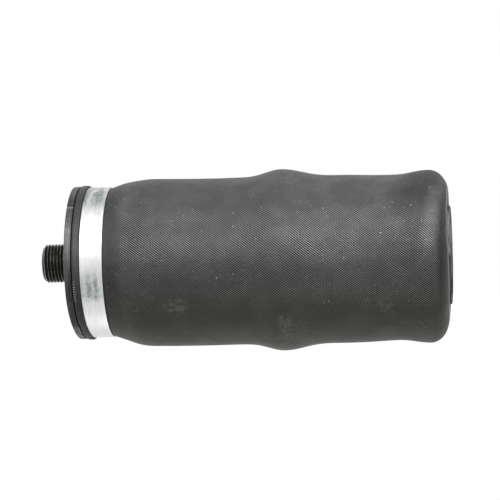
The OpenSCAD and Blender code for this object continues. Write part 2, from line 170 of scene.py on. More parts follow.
# Sizes of the stud and of the threads
STUD_R = 9.525 * MM
STUD_PITCH = INCH_IN_MM / 16 * MM
STUD_CHAMFER = 1.6 * MM
SHANK_R = 10 * MM
HEAD_FLATS = INCH_IN_MM * MM
PORT_R = 5.56 * MM
PORT_PITCH = INCH_IN_MM / 18 * MM
PORT_H = 12 * MM
PORT_MOUTH = 0.7 * MM
PORT_END_R = 3 * MM
BASE_THREAD_R = 5.36 * MM
BASE_THREAD_PITCH = INCH_IN_MM / 13 * MM
BASE_THREAD_H = 18 * MM
BASE_THREAD_MOUTH = 0.9 * MM
# Depth of a thread, in pitches, and the shares of its flat crest and of its slope
OUTSIDE_DEPTH = 0.61
INSIDE_DEPTH = 0.5
CREST = 0.14
SLOPE = 0.76
# Height over which an inside thread fades out
THREAD_FADE = 3 * MM

# Fineness of the meshes: edges over SHARP degrees stay sharp, levels are counted in one pitch
RIBS = 8
SEGMENTS = 288
STEP = 0.6 * MM
SHARP = 32
THREAD_SEGMENTS = 144
THREAD_SHARP = 50
STUD_LEVELS = 14
INSIDE_LEVELS = 12


# Camera: the photograph's view, with the stud to the left and the foot to the right
PHOTO_SIZE = 500
MM_PER_PIXEL = 0.4918
SENSOR_WIDTH = 36
CAMERA_DISTANCE = 1.3
CAMERA_REACH = 20
CAMERA_ELEVATION = math.radians(-6.25)
CAMERA_ROLL = math.radians(1.287)
TARGET = Vector((0.0045, 0, 0.0987))


def make_camera():
    data = bpy.data.cameras.new("photo_camera")
    data.sensor_width = SENSOR_WIDTH
    data.lens = data.sensor_width / (PHOTO_SIZE * MM_PER_PIXEL * MM) * CAMERA_DISTANCE
    data.clip_end = CAMERA_REACH
    back = Vector((0, -math.cos(CAMERA_ELEVATION), math.sin(CAMERA_ELEVATION)))
    up = Vector((1, 0, 0))
    right = up.cross(back)
    turned_right = right * math.cos(CAMERA_ROLL) - up * math.sin(CAMERA_ROLL)
    turned_up = right * math.sin(CAMERA_ROLL) + up * math.cos(CAMERA_ROLL)
    camera = bpy.data.objects.new("photo_camera", data)
    bpy.context.scene.collection.objects.link(camera)
    axes = Matrix((turned_right, turned_up, back)).transposed().to_4x4()
    camera.matrix_world = Matrix.Translation(TARGET + back * CAMERA_DISTANCE) @ axes
    bpy.context.scene.camera = camera


# Outlines
def ease(t):
    return (1 - math.cos(math.pi * min(1, max(0, t)))) / 2


def radius_at(stations, z):
    """Radius at a height, eased between stations of height, radius and sharpness."""
    for (z0, r0, sharpness), (z1, r1, _) in zip(stations, stations[1:]):
        if z <= z1:
            t = (z - z0) / (z1 - z0)
            rise = ease(t if r0 < r1 else 1 - t)
            return min(r0, r1) + abs(r1 - r0) * rise**sharpness
    return stations[-1][1]


def between(pairs, at):
    """Value at a place, eased between pairs of place and value."""
    for (start, low), (end, high) in zip(pairs, pairs[1:]):
        if at <= end:
            return low + (high - low) * ease((at - start) / (end - start))
    return pairs[-1][1]


def levels(start, end, size=STEP):
    """Even steps from start to end, none of them longer than size."""
    count = max(1, math.ceil(abs(end - start) / size))
    return [start + (end - start) * i / count for i in range(count + 1)]


def arc(centre_r, centre_z, radius, start, end, count=6):
    """Points of a round corner, with angles in degrees from the outward radius."""
    points = []
    for i in range(count + 1):
        a = math.radians(start + (end - start) * i / count)
        points.append((centre_r + radius * math.cos(a), centre_z + radius * math.sin(a)))
    return points


def round_side(outer, edge, high, low, count=6):
    """Outer side of a bead or a flange, downward, with both edges rounded."""
    upper = arc(outer - edge, high - edge, edge, 90, 0, count)
    return upper + arc(outer - edge, low + edge, edge, 0, -90, count)


OUTER_WALL = [
    (LOBE_Z, LOBE_R, 1),
    (WAIST_Z, WAIST_R, 1),
    (BULGE_Z - BULGE_LOW_RUN, BELOW_BULGE_R, BULGE_SHARPNESS),
    (BULGE_Z, BULGE_R, BULGE_SHARPNESS),
    (BULGE_Z + BULGE_HIGH_RUN, ABOVE_BULGE_R, 1),
    (BAND_LOW.z - SHOULDER_H, NECK_R, SHOULDER_FULLNESS),
    (BAND_LOW.z + SHOULDER_END, SHOULDER_R, 1),
]
CORE = [
    (-MM, FOOT_R, 1),
    (LOBE_Z, FOOT_R, 1),
    (SHOULDER_Z, BODY_R, 1),
    (CLOSURE_FULL_Z, CLOSURE_R, 1),
    (CLOSURE_HIGH.z, CLOSURE_R, 1),
]
# How far the fold hangs below its even level round the sleeve: angle in degrees, drop
FOLD_DROPS = [
    (0, 0.7 * MM),
    (40, 0.3 * MM),
    (120, 0.1 * MM),
    (180, 0),
    (212, 0.9 * MM),
    (248, 1.4 * MM),
    (270, 1.3 * MM),
    (292, 0.8 * MM),
    (320, 0.7 * MM),
    (360, 0.7 * MM),
]
# Sideways lean of the rubber, which never hangs quite straight: height, shift
LEAN = [
    (LOBE_Z, -0.4 * MM),
    (45 * MM, -0.9 * MM),
    (80 * MM, -0.6 * MM),
    (125 * MM, -1.0 * MM),
    (150 * MM, -0.7 * MM),
    (163 * MM, 0),
]


def inner_wall_r(z):
    start = BAND_LOW.z - SHOULDER_H
    share = ease((BAND_LOW.z - z) / SHOULDER_H) ** SHOULDER_FULLNESS
    wall_r = radius_at(OUTER_WALL, min(z, start)) - WALL
    return wall_r * share + (SPIGOT_R + RUBBER_GAP) * (1 - share)


def piston_side_r(z):
    return radius_at(CORE, z) + RUBBER_GAP * (2 if z < CLOSURE_FULL_Z else 1)


def air_side_r(z):
    start = SHOULDER_Z
    t = min(1, max(0, (z - start) / (LOW_BAND_LOW.z - start)))
    wall_r = piston_side_r(min(z + WALL / 2 * t, CLOSURE_FULL_Z - RUBBER_GAP)) + WALL
    return wall_r * (1 - t) + (LOW_BAND_IN_R - RUBBER_GAP) * t


def fold_arc(depth, start, end, count=24):
    """Points of the fold at a depth in its wall, from the lobe (0 degrees) to the piston (180)."""
    high = LOBE_Z - FOLD_Z - depth
    out = LOBE_R - FOLD_R - depth
    back = FOLD_R - piston_side_r(LOBE_Z) - depth
    points = []
    for i in range(count + 1):
        a = math.radians(start + (end - start) * i / count)
        reach = out if math.cos(a) > 0 else back
        points.append((FOLD_R + reach * math.cos(a), LOBE_Z - high * math.sin(a)))
    return points


def without_repeats(points):
    kept = []
    for p in points:
        if not kept or math.dist(p, kept[-1]) > TINY:
            kept.append(p)
    if math.dist(kept[0], kept[-1]) < TINY:
        kept.pop()
    return kept


def clockwise(outline):
    """Faces look outward when the outline runs clockwise, so one drawn the other way is turned."""
    pairs = zip(outline, outline[1:] + outline[:1])
    doubled_area = sum(r0 * z1 - r1 * z0 for (r0, z0), (r1, z1) in pairs)
    return outline[::-1] if doubled_area > 0 else outline


# Meshes
def finish_mesh(name, verts, faces, sharp_degrees=SHARP):
    mesh = bpy.data.meshes.new(name)
    mesh.from_pydata(verts, [], faces)
    mesh.validate()
    mesh.update()
    for polygon in mesh.polygons:
        polygon.use_smooth = True
    mesh.set_sharp_from_angle(angle=math.radians(sharp_degrees))
    obj = bpy.data.objects.new(name, mesh)
    bpy.context.scene.collection.objects.link(obj)
    return obj


def turned(name, outline, shape=None, segments=SEGMENTS, sharp_degrees=SHARP, lean=None):
    """Turns a closed outline of (radius, height) about the axis; shape may move a point."""
    verts, faces, rings = [], [], []
    for r, z in clockwise(without_repeats(outline)):
        if r < TINY:
            rings.append([len(verts)])
            verts.append((0, 0, z))
            continue
        ring = []
        for k in range(segments):
            angle = TURN * k / segments
            rr, zz = shape(r, z, angle) if shape else (r, z)
            shift = lean(r, z) if lean else 0
            ring.append(len(verts))
            verts.append((rr * math.cos(angle) + shift, rr * math.sin(angle), zz))
        rings.append(ring)
    for i, ring in enumerate(rings):
        after = rings[(i + 1) % len(rings)]
        if len(ring) == 1 and len(after) == 1:
            continue
        for k in range(segments):
            j = (k + 1) % segments
            if len(ring) == 1:
                faces.append((ring[0], after[k], after[j]))
            elif len(after) == 1:
                faces.append((ring[k], after[0], ring[j]))
            else:
                faces.append((ring[k], after[k], after[j], ring[j]))
    return finish_mesh(name, verts, faces, sharp_degrees)


def thread_depth(turns, share):
    """Depth below the crest of a 60 degree thread, in pitches, at a number of turns."""
    t = turns % 1
    slope = min(t, 1 - t) * 2
    return share * min(1, max(0, (slope - CREST) / SLOPE))


# Rubber sleeve in three closed pieces that meet at the bulge and at the fold
def free_share(r, z):
    """How freely the rubber may move: 0 where it is gripped or lies on the piston."""
    return ease((BAND_LOW.z - z) / HELD_H) * ease((r - HELD_R) / FREE_RUN)


def rubber_lean(r, z):
    return free_share(r, z) * between(LEAN, z)


def rubber_shape(r, z, angle):
    """Small unevenness of the rubber, and a fold that rolls a little lower on one side."""
    point = Vector((math.cos(angle), math.sin(angle), 0)) * SWELL_AROUND
    swell = noise.noise(point + Vector((0, 0, z / SWELL_UP)))
    ripple = noise.noise(point * RIPPLE_AROUND + Vector((RIPPLE_SHIFT, 0, z / RIPPLE_UP)))
    drop = between(FOLD_DROPS, math.degrees(angle)) + FOLD_RIPPLE * ripple
    drop *= ease((FOLD_DROP_TOP - z) / FOLD_DROP_RUN)
    uneven = (SWELL_DEPTH * swell + RIPPLE_DEPTH * ripple) * MM
    return r + free_share(r, z) * uneven, z - drop


def bent_share(r, angle):
    """How far a point lies into the side where the rim of the cap is bent down."""
    return max(0, (-r * math.cos(angle) - BENT_START) / BENT_RUN) ** 2


def rim_drop(r, angle):
    return RIM_BEND * bent_share(r, angle) * ease((r - SPIGOT_R) / RIM_BEND_RUN)


def bead_shape(r, z, angle):
    """The bead follows the bent rim of the cap, and its lower lip hangs over the band."""
    if z > (BAND_HIGH.z + SLEEVE_HIGH.z) / 2:
        return r, z - rim_drop(r, angle)
    if z > BAND_HIGH.z:
        pressed = LIP_PRESSED * ease((r * abs(math.cos(angle)) - LIP_START) / LIP_RUN)
        lip = ease((r - BAND_HIGH.x - RUBBER_GAP) / LIP_EDGE)
        return r, z - (pressed + LIP_BENT * bent_share(r, angle)) * lip
    return rubber_shape(r, z, angle)


def keep_place(obj):
    """Keeps where each point is at rest, so that the marks on the rubber stay with it."""
    kept = obj.data.attributes.new("rest_place", "FLOAT_VECTOR", "POINT")
    kept.data.foreach_set("vector", [c for v in obj.data.vertices for c in v.co])


def make_sleeve():
    """Outer wall above and below the bulge, and the inner wall that climbs the piston."""
    band_foot = BAND_LOW.z - RUBBER_GAP
    band_head = BAND_HIGH.z + RUBBER_GAP
    grip_r = BAND_IN_R - RUBBER_GAP
    crimp_r = SPIGOT_R + RUBBER_GAP
    bead_top = SLEEVE_HIGH.z
    upper = turned(
        "sleeve_upper",
        [(crimp_r, bead_top)]
        + round_side(BEAD_R, BEAD_ROUND, bead_top, band_head)
        + [(grip_r, band_head), (grip_r, band_foot)]
        + [(radius_at(OUTER_WALL, z), z) for z in levels(band_foot, BULGE_Z)]
        + [(inner_wall_r(z), z) for z in levels(BULGE_Z, BAND_LOW.z, 4 * STEP)]
        + [(crimp_r, BAND_HIGH.z)],
        bead_shape,
        lean=rubber_lean,
    )
    lower = turned(
        "sleeve_lower",
        [(radius_at(OUTER_WALL, z), z) for z in levels(BULGE_Z, LOBE_Z)]
        + fold_arc(0, 0, 90)
        + fold_arc(WALL, 90, 0, 10)
        + [(inner_wall_r(z), z) for z in levels(LOBE_Z, BULGE_Z, 4 * STEP)],
        rubber_shape,
        lean=rubber_lean,
    )
    low_foot = LOW_BAND_LOW.z - RUBBER_GAP
    low_head = LOW_BAND_HIGH.z + RUBBER_GAP
    low_top = CLOSURE_HIGH.z
    inner = turned(
        "sleeve_inner",
        fold_arc(0, 90, 180)
        + [(piston_side_r(z), z) for z in levels(LOBE_Z, CLOSURE_FULL_Z)]
        + [(CLOSURE_R + RUBBER_GAP, low_top)]
        + round_side(LOW_BEAD_R, LOW_BEAD_ROUND, low_top, low_head)
        + [(LOW_BAND_IN_R - RUBBER_GAP, low_head)]
        + [(air_side_r(z), z) for z in levels(low_foot, LOBE_Z, 2 * STEP)]
        + fold_arc(WALL, 180, 90, 10),
        rubber_shape,
        lean=rubber_lean,
    )
    return upper, lower, inner


# Hard pieces
def make_band():
    """Crimp band with soft edges and the marks of the crimping jaws."""
    outer = BAND_HIGH.x
    edge = 0.35 * MM
    jaws = 8
    jaw_phase = math.radians(17)
    flat_depth = 0.05 * MM
    step_depth, step_width = 0.09 * MM, 0.012

    def jaw_marks(r, z, angle):
        """The crimping jaws leave shallow flats with a fine step between two of them."""
        if r < outer - 0.5 * MM:
            return r, z
        t = ((angle - jaw_phase) / TURN * jaws) % 1
        flat = flat_depth * (1 - math.cos(TURN * t)) / 2
        step = step_depth * math.exp(-((min(t, 1 - t) / step_width) ** 2))
        return r - flat_depth + flat - step, z

    outline = (
        [(BAND_IN_R, BAND_LOW.z)]
        + arc(outer - edge, BAND_LOW.z + edge, edge, -90, 0, 4)
        + [(outer, z) for z in levels(BAND_LOW.z + 2 * edge, BAND_HIGH.z - 2 * edge, 2 * MM)]
        + arc(outer - edge, BAND_HIGH.z - edge, edge, 0, 90, 4)
        + [(BAND_IN_R, BAND_HIGH.z)]
    )
    return turned("crimp_band", outline, jaw_marks, 2 * SEGMENTS)


def make_end_cap():
    """End cap: flange, hollow spigot, and a boss with the pocket of the stud's head."""
    face = CAP_HIGH.z
    flange_r = CAP_HIGH.x
    edge = 0.45 * MM
    bore_r = 10.05 * MM
    bore_edge = 0.4 * MM
    face_radii = levels(12 * MM, flange_r - 3 * MM, 6 * MM)
    hollow_r = SPIGOT_R - CAP_WALL
    nick_angle = math.radians(RIM_NICK)

    def worn_rim(r, z, angle):
        """A rim bent down on one side, with small dings along it."""
        if z >= FLANGE_LOW:
            z -= rim_drop(r, angle)
        if r < flange_r - MM:
            return r, z
        around = Vector((math.cos(angle) * DENTS_AROUND, math.sin(angle) * DENTS_AROUND, 0))
        dent = noise.noise(around + Vector((0, 0, z * DENTS_UP)))
        off_nick = (angle - nick_angle + math.pi) % TURN - math.pi
        nick = math.exp(-((off_nick / NICK_WIDTH) ** 2))
        return r - DENT_DEPTH * max(0, dent) - NICK_DEPTH * nick, z

    outline = (
        [(bore_r, face - bore_edge), (bore_r + bore_edge, face)]
        + [(r, face) for r in face_radii]
        + round_side(flange_r, edge, face, FLANGE_LOW, 4)
        + [(SPIGOT_R, FLANGE_LOW), (SPIGOT_R, CAP_LOW.z + edge), (SPIGOT_R - edge, CAP_LOW.z)]
        + [(hollow_r, CAP_LOW.z), (hollow_r, CAP_HOLLOW_Z)]
        + [(BOSS_R, CAP_HOLLOW_Z), (BOSS_R, BOSS_LOW), (HEAD_POCKET_R, BOSS_LOW)]
        + [(HEAD_POCKET_R, HEAD_POCKET_Z), (bore_r, HEAD_POCKET_Z)]
    )
    return turned("end_cap_turned", outline, worn_rim)


def make_stud():
    """Stud with a rolled helical thread, a pipe thread in the port and a hexagon head."""
    top = STUD_HIGH.z
    face = CAP_HIGH.z
    head_low = STUD_LOW.z
    head_r = HEAD_FLATS / math.sqrt(3)
    head_edge_r, head_edge_h = 0.8 * MM, 0.5 * MM
    tip_r = STUD_R - STUD_CHAMFER
    port_cone = 1.2 * MM
    fine = STUD_PITCH / STUD_LEVELS

    def threaded(r, z, angle):
        if abs(r - STUD_R) < TINY and z > face:
            depth = thread_depth(z / STUD_PITCH - angle / TURN, OUTSIDE_DEPTH) * STUD_PITCH
            run_out = ease((z - face) / (0.8 * STUD_PITCH))
            cone = tip_r + (top - z)
            return min(STUD_R - depth * run_out, max(cone, tip_r)), z
        if abs(r - PORT_R) < TINY and z < top - 0.2 * MM:
            depth = thread_depth(z / PORT_PITCH - angle / TURN, INSIDE_DEPTH) * PORT_PITCH
            fade = ease((z - (top - PORT_H)) / THREAD_FADE)
            return PORT_R + depth * fade, z
        if z <= HEAD_POCKET_Z and r > SHANK_R + MM:
            wedge = (angle % (TURN / 6)) - TURN / 12
            return min(r, HEAD_FLATS / 2 / math.cos(wedge)), z
        return r, z

    outline = (
        [(PORT_END_R, head_low), (head_r - head_edge_r, head_low)]
        + [(head_r, head_low + head_edge_h), (head_r, HEAD_POCKET_Z), (SHANK_R, HEAD_POCKET_Z)]
        + [(SHANK_R, face), (STUD_R, face)]
        + [(STUD_R, z) for z in levels(face + fine, top - fine, fine)]
        + [(tip_r, top), (PORT_R + PORT_MOUTH, top)]
        + [(PORT_R, z) for z in levels(top - PORT_MOUTH, top - PORT_H, PORT_PITCH / INSIDE_LEVELS)]
        + [(PORT_END_R, top - PORT_H - port_cone)]
    )
    return turned("threaded_stud", outline, threaded, THREAD_SEGMENTS, THREAD_SHARP)


def make_piston():
    """Moulded piston: smooth outside, pockets between ribs below, column for the insert."""
    edge = 0.4 * MM
    pocket_round = 0.6 * MM
    pocket_draft = 0.3 * MM
    bolt_hole_r = 5.1 * MM
    pocket_low_r = POCKET_R + pocket_draft
    outline = (
        [(INSERT_R, 0), (COLUMN_R - edge, 0), (COLUMN_R, edge), (COLUMN_R, POCKET_H)]
        + [(POCKET_R - pocket_round, POCKET_H), (POCKET_R, POCKET_H - pocket_round)]
        + [(pocket_low_r, edge), (pocket_low_r + edge, 0), (FOOT_R - FOOT_CHAMFER, 0)]
        + arc(FOOT_R - FOOT_CHAMFER, FOOT_CHAMFER, FOOT_CHAMFER, -90, 0, 5)
        + [(radius_at(CORE, z), z) for z in levels(2 * MM, PISTON_HIGH.z, MM)]
        + [(bolt_hole_r, PISTON_HIGH.z), (bolt_hole_r, INSERT_HIGH.z), (INSERT_R, INSERT_HIGH.z)]
    )
    return turned("piston_moulding", outline)


def make_ribs(name, first_angle, inner, outer, thickness, low, high):
    """Eight radial ribs with soft lower edges, in one mesh."""
    verts, faces = [], []
    half = thickness / 2
    soft = 0.4 * MM
    section = [(-half, high), (-half, low + soft), (-half + soft, low)]
    section += [(half - soft, low), (half, low + soft), (half, high)]
    for i in range(RIBS):
        angle = first_angle + TURN * i / RIBS
        c, s = math.cos(angle), math.sin(angle)
        first = len(verts)
        for reach in (inner, outer):
            for y, z in section:
                verts.append((reach * c - y * s, reach * s + y * c, z))
        n = len(section)
        for k in range(n):
            j = (k + 1) % n
            faces.append((first + k, first + j, first + n + j, first + n + k))
        faces.append(tuple(first + k for k in reversed(range(n))))
        faces.append(tuple(first + n + k for k in range(n)))
    return finish_mesh(name, verts, faces)


def make_insert():
    """Insert with the base thread below and the hole of the tie bolt above."""
    top = BASE_THREAD_H
    mouth = BASE_THREAD_MOUTH
    drill_cone = 2 * MM
    bolt_hole_r, bolt_hole_low, bolt_hole_tip = 4.81 * MM, 24 * MM, 23 * MM

    def threaded(r, z, angle):
        if abs(r - BASE_THREAD_R) < TINY and z > 0.3 * MM:
            turns = z / BASE_THREAD_PITCH - angle / TURN
            depth = thread_depth(turns, INSIDE_DEPTH) * BASE_THREAD_PITCH
            return BASE_THREAD_R + depth * ease((top - z) / THREAD_FADE), z
        return r, z

    fine = BASE_THREAD_PITCH / INSIDE_LEVELS
    outline = (
        [(0, top + drill_cone), (BASE_THREAD_R, top)]
        + [(BASE_THREAD_R, z) for z in levels(top - MM, mouth, fine)]
        + [(BASE_THREAD_R + mouth, 0), (INSERT_R, 0), (INSERT_R, INSERT_HIGH.z)]
        + [(bolt_hole_r, INSERT_HIGH.z), (bolt_hole_r, bolt_hole_low), (0, bolt_hole_tip)]
    )
    return turned("threaded_insert", outline, threaded, THREAD_SEGMENTS, THREAD_SHARP)


def make_bumper():
    """Foam stop with soft rings, a bore and crossed air slots in its head."""
    low, top = BUMPER_LOW.z, BUMPER_HIGH.z
    half_wave = (top - WASHER_Z) / len(BUMPER_WAVES)
    stations = [(low, BUMPER_BASE_R, 1), (WASHER_Z, BUMPER_BASE_R, 1)]
    for i, r in enumerate(BUMPER_WAVES):
        stations.append((WASHER_Z + (i + 1) * half_wave, r, 1))
    bolt_r, bore_r = 5.07 * MM, 10.6 * MM
    base_edge, head_edge, bore_edge = 0.8 * MM, 1.6 * MM, 0.5 * MM
    slot_half, slot_depth, slot_run, slot_edge = 1.5 * MM, 3 * MM, 4 * MM, 0.5 * MM
    head_flat_r = BUMPER_HEAD_R - head_edge

    def slotted(r, z, angle):
        across = min(abs(r * math.cos(angle)), abs(r * math.sin(angle)))
        in_slot = ease((slot_half + slot_edge / 2 - across) / slot_edge)
        return r, z - slot_depth * ease((z - top + slot_run) / slot_run) * in_slot

    side = levels(low + base_edge, top - head_edge, 2 * STEP)
    outline = (
        [(bolt_r, low)]
        + arc(BUMPER_BASE_R - base_edge, low + base_edge, base_edge, -90, 0)
        + [(radius_at(stations, z), z) for z in side]
        + arc(head_flat_r, top - head_edge, head_edge, 0, 90)
        + [(r, top) for r in levels(head_flat_r, bore_r + bore_edge)]
        + [(bore_r, z) for z in levels(top - bore_edge, top - slot_run)]
        + [(bore_r, WASHER_Z), (bolt_r, WASHER_Z)]
    )
    return turned("foam_bumper", outline, slotted, 2 * SEGMENTS)


# Materials
# Two spans in which the values of a noise lie: nearly all of them, and most
WIDE = (0.3, 0.7)
NARROW = (0.35, 0.65)


def grey(level):
    return (level, level, level)


class Nodes:
    """A node tree, with short calls for the nodes that the finishes use."""

    def __init__(self, tree):
        self.tree = tree

    def make(self, kind, **settings):
        made = self.tree.nodes.new(kind)
        for key, value in settings.items():
            setattr(made, key, value)
        return made

    def feed(self, socket, value):
        if isinstance(value, bpy.types.NodeSocket):
            self.tree.links.new(value, socket)
        else:
            socket.default_value = value

    def sums(self, operation, a, b=0.0):
        made = self.make("ShaderNodeMath", operation=operation)
        for socket, value in zip(made.inputs, (a, b)):
            self.feed(socket, value)
        return made.outputs[0]

    def plus(self, a, b):
        return self.sums("ADD", a, b)

    def less(self, a, b):
        return self.sums("SUBTRACT", a, b)

    def larger(self, a, b):
        return self.sums("MAXIMUM", a, b)

    def smaller(self, a, b):
        return self.sums("MINIMUM", a, b)

    def times(self, product, *others):
        for other in others:
            product = self.sums("MULTIPLY", product, other)
        return product

    def away(self, value, middle):
        """How far a value is from a middle, to either side."""
        return self.sums("ABSOLUTE", self.less(value, middle))

    def band(self, value, low, high, out_low=0.0, out_high=1.0):
        """Smooth step of a value from low to high."""
        made = self.make("ShaderNodeMapRange", interpolation_type="SMOOTHSTEP")
        for socket, v in zip(made.inputs, (value, low, high, out_low, out_high)):
            self.feed(socket, v)
        return made.outputs[0]


class Paint(Nodes):
    """A material, with its places, noises and mixes of colour."""

    def __init__(self, name):
        self.material = bpy.data.materials.new(name)
        self.material.use_nodes = True
        super().__init__(self.material.node_tree)
        self.shader = self.tree.nodes["Principled BSDF"]
        self.place = self.make("ShaderNodeTexCoord").outputs["Object"]

    def axes(self, at=None):
        made = self.make("ShaderNodeSeparateXYZ")
        self.feed(made.inputs[0], self.place if at is None else at)
        return made.outputs

    def vector(self, x, y, z):
        made = self.make("ShaderNodeCombineXYZ")
        for socket, value in zip(made.inputs, (x, y, z)):
            self.feed(socket, value)
        return made.outputs[0]

    def radius(self):
        x, y, _ = self.axes()
        return self.sums("SQRT", self.plus(self.times(x, x), self.times(y, y)))

    def angle(self):
        x, y, _ = self.axes()
        return self.sums("ARCTAN2", y, x)

    def wrapped(self, fineness):
        """Place on a unit cylinder, drawn out in height, for lines that run round a piece."""
        angle, z = self.angle(), self.axes()[2]
        round_x, round_y = self.sums("COSINE", angle), self.sums("SINE", angle)
        return self.vector(round_x, round_y, self.times(z, fineness))

    def noise(self, scale, detail=3.0, rough=0.55, at=None):
        made = self.make("ShaderNodeTexNoise")
        self.feed(made.inputs["Vector"], self.place if at is None else at)
        made.inputs["Scale"].default_value = scale
        made.inputs["Detail"].default_value = detail
        made.inputs["Roughness"].default_value = rough
        return made.outputs["Fac"]

    def mix(self, share, a, b, blend="MIX"):
        made = self.make("ShaderNodeMix", data_type="RGBA", blend_type=blend)
        self.feed(made.inputs[0], share)
        for socket, value in zip(made.inputs[6:8], (a, b)):
            self.feed(socket, (*value, 1.0) if isinstance(value, tuple) else value)
        return made.outputs[2]

    def shade(self, base, share, tone):
        """Multiplies a share of a colour by a tone, which is grey where it is one number."""
        return self.mix(share, base, tone if isinstance(tone, tuple) else grey(tone), "MULTIPLY")

    def bump(self, height, distance, strength):
        made = self.make("ShaderNodeBump")
        made.inputs["Strength"].default_value = strength
        made.inputs["Distance"].default_value = distance
        self.feed(made.inputs["Height"], height)
        return made.outputs[0]

    def set(self, **values):
        for key, value in values.items():
            socket = self.shader.inputs[key.replace("_", " ")]
            self.feed(socket, (*value, 1.0) if isinstance(value, tuple) else value)


# Fabric print on the rubber: threads counted round the sleeve, their rise along it, and how
# much the main and the crossing threads stand out
PRINT_COUNT = 227
PRINT_RISE = 1.46 * MM
MAIN_THREADS = 0.86
CROSS_THREADS = 0.18
# Painted glints of threads along the upper edge of the bead, counted round it
EDGE_GLINT_THREADS = 180
# The print is crispest round CRISP_Z, and the higher above WORN_Z, the farther across it is worn
CRISP_Z = 46 * MM
WORN_Z = 80 * MM
WORN_SLOPE = 0.1
# Dusty spots on the front: across, up, reach across, reach up, strength
DUSTY_SPOTS = [
    (-22 * MM, 131 * MM, 6 * MM, 8 * MM, 1.1),
    (-23 * MM, 31 * MM, 5 * MM, 6 * MM, 1.0),
    (-32 * MM, 79 * MM, 8 * MM, 4 * MM, 3.0),
    (-32 * MM, 72 * MM, 6 * MM, 8 * MM, 0.4),
    (-33 * MM, 12 * MM, 6 * MM, 6 * MM, 0.5),
    (38 * MM, 76 * MM, 5 * MM, 6 * MM, 0.4),
]
# Paler and darker places of the rubber: across, up, reach across, reach up, tone
SHADED_SPOTS = [
    (25 * MM, 156 * MM, 9 * MM, 10 * MM, 1.3),
    (11 * MM, 75 * MM, 9 * MM, 10 * MM, 1.25),
    (35 * MM, 27 * MM, 7 * MM, 12 * MM, 1.35),
    (3 * MM, 22 * MM, 15 * MM, 14 * MM, 0.72),
]
# Painted shade toward -X, the side turned from the light, and a browner tint farther on that side:
# x where a tone starts, x where it is full
SIDE_SHADE_AND_TINT = [
    (10 * MM, -8 * MM, (0.72, 0.72, 0.71)),
    (-10 * MM, -25 * MM, (0.91, 0.95, 0.77)),
]
# Middle in x of a stripe of painted shade along the rubber
PAINTED_SHADE_STRIPE_X = -7 * MM
# Beyond FOLD_SLANT_X the marks of the fold lie lower, with this slope
FOLD_SLANT_X = 8 * MM
FOLD_SLOPE = 0.12
# Middle of the painted highlight along the lobe's ridge
RIDGE_HIGHLIGHT_X = 18 * MM


class Rubber(Paint):
    """Rubber, where the marks of wear and the painted shade and highlights read the place at rest,
    so that they move with it.
    """

    def __init__(self, name):
        super().__init__(name)
        rest = self.make("ShaderNodeAttribute", attribute_name="rest_place")
        self.x, self.y, self.z = self.axes(rest.outputs["Vector"])
        self.patchy = self.noise(60, 3)
        self.fine_patchy = self.noise(420, 2)
        self.grain = self.noise(1900, 2, 0.6)

    def spot(self, across, up, reach_x, reach_z):
        """Share of a soft-edged spot on the front, 1 in its middle."""
        off = self.make("ShaderNodeVectorMath", operation="DISTANCE")
        scaled_x = self.sums("DIVIDE", self.x, reach_x)
        scaled_z = self.sums("DIVIDE", self.z, reach_z)
        self.feed(off.inputs[0], self.vector(scaled_x, 0.0, scaled_z))
        off.inputs[1].default_value = (across / reach_x, 0, up / reach_z)
        on_front = self.band(self.y, 10 * MM, 0.0)
        return self.times(self.band(off.outputs["Value"], 1.0, 0.2), on_front)


def fabric_print(p, fold_side):
    """Height of the crossed threads, which keep their pitch where the sleeve lengthens."""
    z_now = p.axes()[2]
    inward = p.less(p.radius(), LOBE_R)
    if fold_side == "outer":
        on_lobe = p.band(p.z, LOBE_Z + 4 * MM, LOBE_Z - 2 * MM)
        along = p.plus(z_now, p.times(inward, on_lobe))
    else:
        along = p.less(p.plus(inward, 2 * FOLD_Z), z_now)
    around = p.times(p.angle(), PRINT_COUNT)
    rise = p.times(along, TURN / PRINT_RISE)
    main = p.sums("SINE", p.less(around, rise))
    cross = p.sums("SINE", p.plus(around, rise))
    return p.plus(p.times(main, MAIN_THREADS), p.times(cross, CROSS_THREADS))


def print_depth(p):
    """How deep the print stands: patchy, faint at the crimp, and worn off on both sides."""
    patches = p.band(p.patchy, 0.35, 0.6, 0.85, 1.0)
    fine_patches = p.band(p.fine_patchy, 0.3, 0.6, 0.8, 1.0)
    below_band = p.band(p.z, 156 * MM, 162 * MM, 1.0, 0.08)
    on_bead = p.band(p.z, BAND_HIGH.z - MM, BAND_HIGH.z, 0.0, 0.6)
    worn_x = p.plus(p.x, p.times(p.less(WORN_Z, p.z), WORN_SLOPE))
    upper_side = p.band(p.x, 31 * MM, 6 * MM, 0.3, 1.0)
    lower_side = p.band(worn_x, -31 * MM, -9 * MM, 0.4, 1.0)
    kept = p.times(p.plus(below_band, on_bead), p.smaller(upper_side, lower_side))
    return p.times(patches, fine_patches, kept)


def rubber_tones(p, base):
    """Paler, darker and browner places of the rubber, with painted shade toward -X and in a stripe
    beside the middle.
    """
    base = p.shade(base, p.band(p.noise(110, 4, 0.6), *NARROW), 0.76)
    base = p.shade(base, p.band(p.noise(46, 2), 0.42, 0.6), (0.86, 0.87, 0.87))
    cloud = p.band(p.noise(30, 4, 0.6), 0.4, 0.72)
    base = p.mix(p.times(cloud, 0.15), base, (0.098, 0.099, 0.1))
    for *spot, tone in SHADED_SPOTS:
        base = p.shade(base, p.spot(*spot), tone)
    # Painted shade toward -X, and a browner tint farther on that side
    for start, full, tone in SIDE_SHADE_AND_TINT:
        base = p.shade(base, p.band(p.x, start, full), tone)
    # A stripe of painted shade along the rubber, a little to the -X side of the middle
    return p.shade(base, p.band(p.away(p.x, PAINTED_SHADE_STRIPE_X), 10 * MM, 3 * MM), 0.84)


